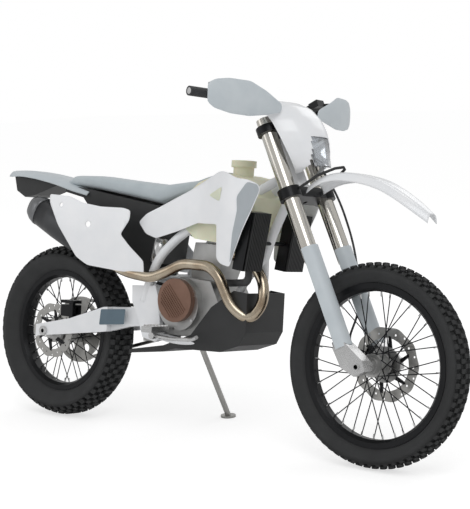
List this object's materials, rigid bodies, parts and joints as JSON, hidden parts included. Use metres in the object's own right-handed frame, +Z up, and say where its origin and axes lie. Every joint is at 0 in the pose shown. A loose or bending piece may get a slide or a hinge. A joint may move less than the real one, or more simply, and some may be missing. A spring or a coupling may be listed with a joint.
{
  "type": "enduro motorcycle",
  "caption": "Off-road motorcycle with wire wheels, long-travel fork, single-cylinder engine and high mudguards, parked on its side stand.",
  "frame": {"origin": "centre of the bounding box, on the floor that the tyres and the stand's foot rest on", "axes": "+X forward, +Y to the rider's left, +Z up; the machine leans 8.5 degrees to its left about +X"},
  "size_m": [2.1789, 0.8558, 1.329],
  "materials": {
    "white_plastic": "moulded",
    "grey_plastic": "moulded",
    "black_plastic": "moulded",
    "white_frame": "powder coat",
    "fork_steel": "polished",
    "silver_aluminium": "cast and machined",
    "black_aluminium": "anodised black",
    "steel": "ground",
    "header_steel": "heat tinted",
    "silencer_metal": "dark coating",
    "bronze_cover": "satin",
    "tyre_rubber": "moulded",
    "soft_rubber": "moulded",
    "seat_cover": "grip cloth",
    "tank_plastic": "translucent",
    "lens": "clear"
  },
  "bodies": {
    "frame": {"frame": "white_frame", "swingarm": "white_frame", "rear_axle": "silver_aluminium", "engine": "silver_aluminium", "clutch_cover": "bronze_cover", "ignition_cover": "silver_aluminium", "skid_plate": "black_plastic", "exhaust_header": "header_steel", "silencer": "silencer_metal", "radiators": "black_aluminium", "coolant_hose": "soft_rubber", "fuel_tank": "tank_plastic", "seat": "seat_cover", "subframe": "black_plastic", "left_shroud": "white_plastic", "right_shroud": "white_plastic", "left_side_panel": "white_plastic", "right_side_panel": "white_plastic", "rear_fender": "white_plastic", "tail_light_bracket": "black_plastic", "shock_absorber": "black_aluminium", "linkage": "silver_aluminium", "chain": "steel", "footpegs": "silver_aluminium", "rear_brake_pedal": "steel", "gear_lever": "steel", "rear_brake_caliper": "black_aluminium", "stand_pin": "steel"},
    "steering": {"fork_tubes": "fork_steel", "fork_legs": "silver_aluminium", "fork_guards": "grey_plastic", "triple_clamps": "black_aluminium", "front_axle": "silver_aluminium", "front_brake_caliper": "black_aluminium", "handlebar": "silver_aluminium", "grips": "soft_rubber", "clutch_lever": "black_aluminium", "front_brake_lever": "black_aluminium", "hand_guards": "grey_plastic", "headlight_mask": "white_plastic", "headlight": "lens", "front_fender": "white_plastic", "brake_hose": "soft_rubber"},
    "front_wheel": {"front_tyre": "tyre_rubber", "front_rim": "black_aluminium", "front_hub": "silver_aluminium", "front_spokes": "steel", "front_disc": "steel"},
    "rear_wheel": {"rear_tyre": "tyre_rubber", "rear_rim": "black_aluminium", "rear_hub": "silver_aluminium", "rear_spokes": "steel", "rear_disc": "steel", "sprocket": "steel"},
    "side_stand": {"side_stand": "steel"}
  },
  "joints": [
    {"name": "steering_head", "type": "hinge", "parent": "frame", "child": "steering", "pos_m": [0.34224, -0.03146, 1.01288], "axis": [-0.4462, 0.1323, 0.8851], "range_deg": [-40, 40]},
    {"name": "front_wheel_spin", "type": "hinge", "parent": "steering", "child": "front_wheel", "pos_m": [0.7395, -0.13101, 0.34677], "axis": [0, 0.989, -0.1478], "continuous": true},
    {"name": "rear_wheel_spin", "type": "hinge", "parent": "frame", "child": "rear_wheel", "pos_m": [-0.7475, -0.13215, 0.33915], "axis": [0, 0.989, -0.1478], "continuous": true},
    {"name": "side_stand_hinge", "type": "hinge", "parent": "frame", "child": "side_stand", "pos_m": [-0.186, 0.0205, 0.34574], "axis": [-0.1043, 0.9917, 0.0748], "range_deg": [0, 90]}
  ]
}
